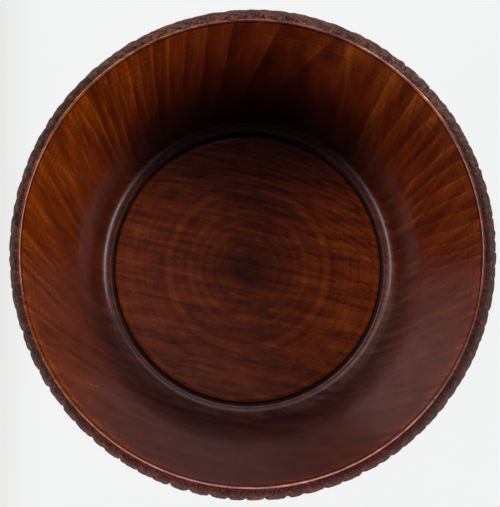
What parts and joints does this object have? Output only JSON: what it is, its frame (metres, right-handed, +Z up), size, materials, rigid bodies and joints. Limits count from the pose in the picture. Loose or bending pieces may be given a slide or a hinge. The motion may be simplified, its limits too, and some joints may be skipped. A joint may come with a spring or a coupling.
{
  "type": "communion chalice",
  "caption": "Turned wooden goblet with a lacquered straight-sided bowl, a bark-carved outside, a knopped stem and a felted foot.",
  "frame": {"origin": "centre of the flat face it stands on, the underside of the felt disc", "axes": "+Z up along the cup's turning axis; +X and +Y are the right and the top of the view straight down into the bowl"},
  "size_m": [0.0977, 0.0977, 0.1736],
  "materials": {
    "lacquered_wood": "dark red-brown stain under a semi-gloss lacquer",
    "turned_wood": "dark red-brown stain under a satin lacquer",
    "carved_wood": "dark stain, matte, gouge-carved like bark",
    "bare_wood": "unfinished beech, fluted for glue",
    "felt": "short-napped wool felt"
  },
  "bodies": {
    "root": {"cup": "lacquered_wood", "upper_collar": "turned_wood", "upper_stem": "turned_wood", "knop": "turned_wood", "lower_stem": "turned_wood", "lower_collar": "turned_wood", "foot": "carved_wood", "stem_dowel": "bare_wood", "base_felt": "felt"}
  },
  "joints": []
}
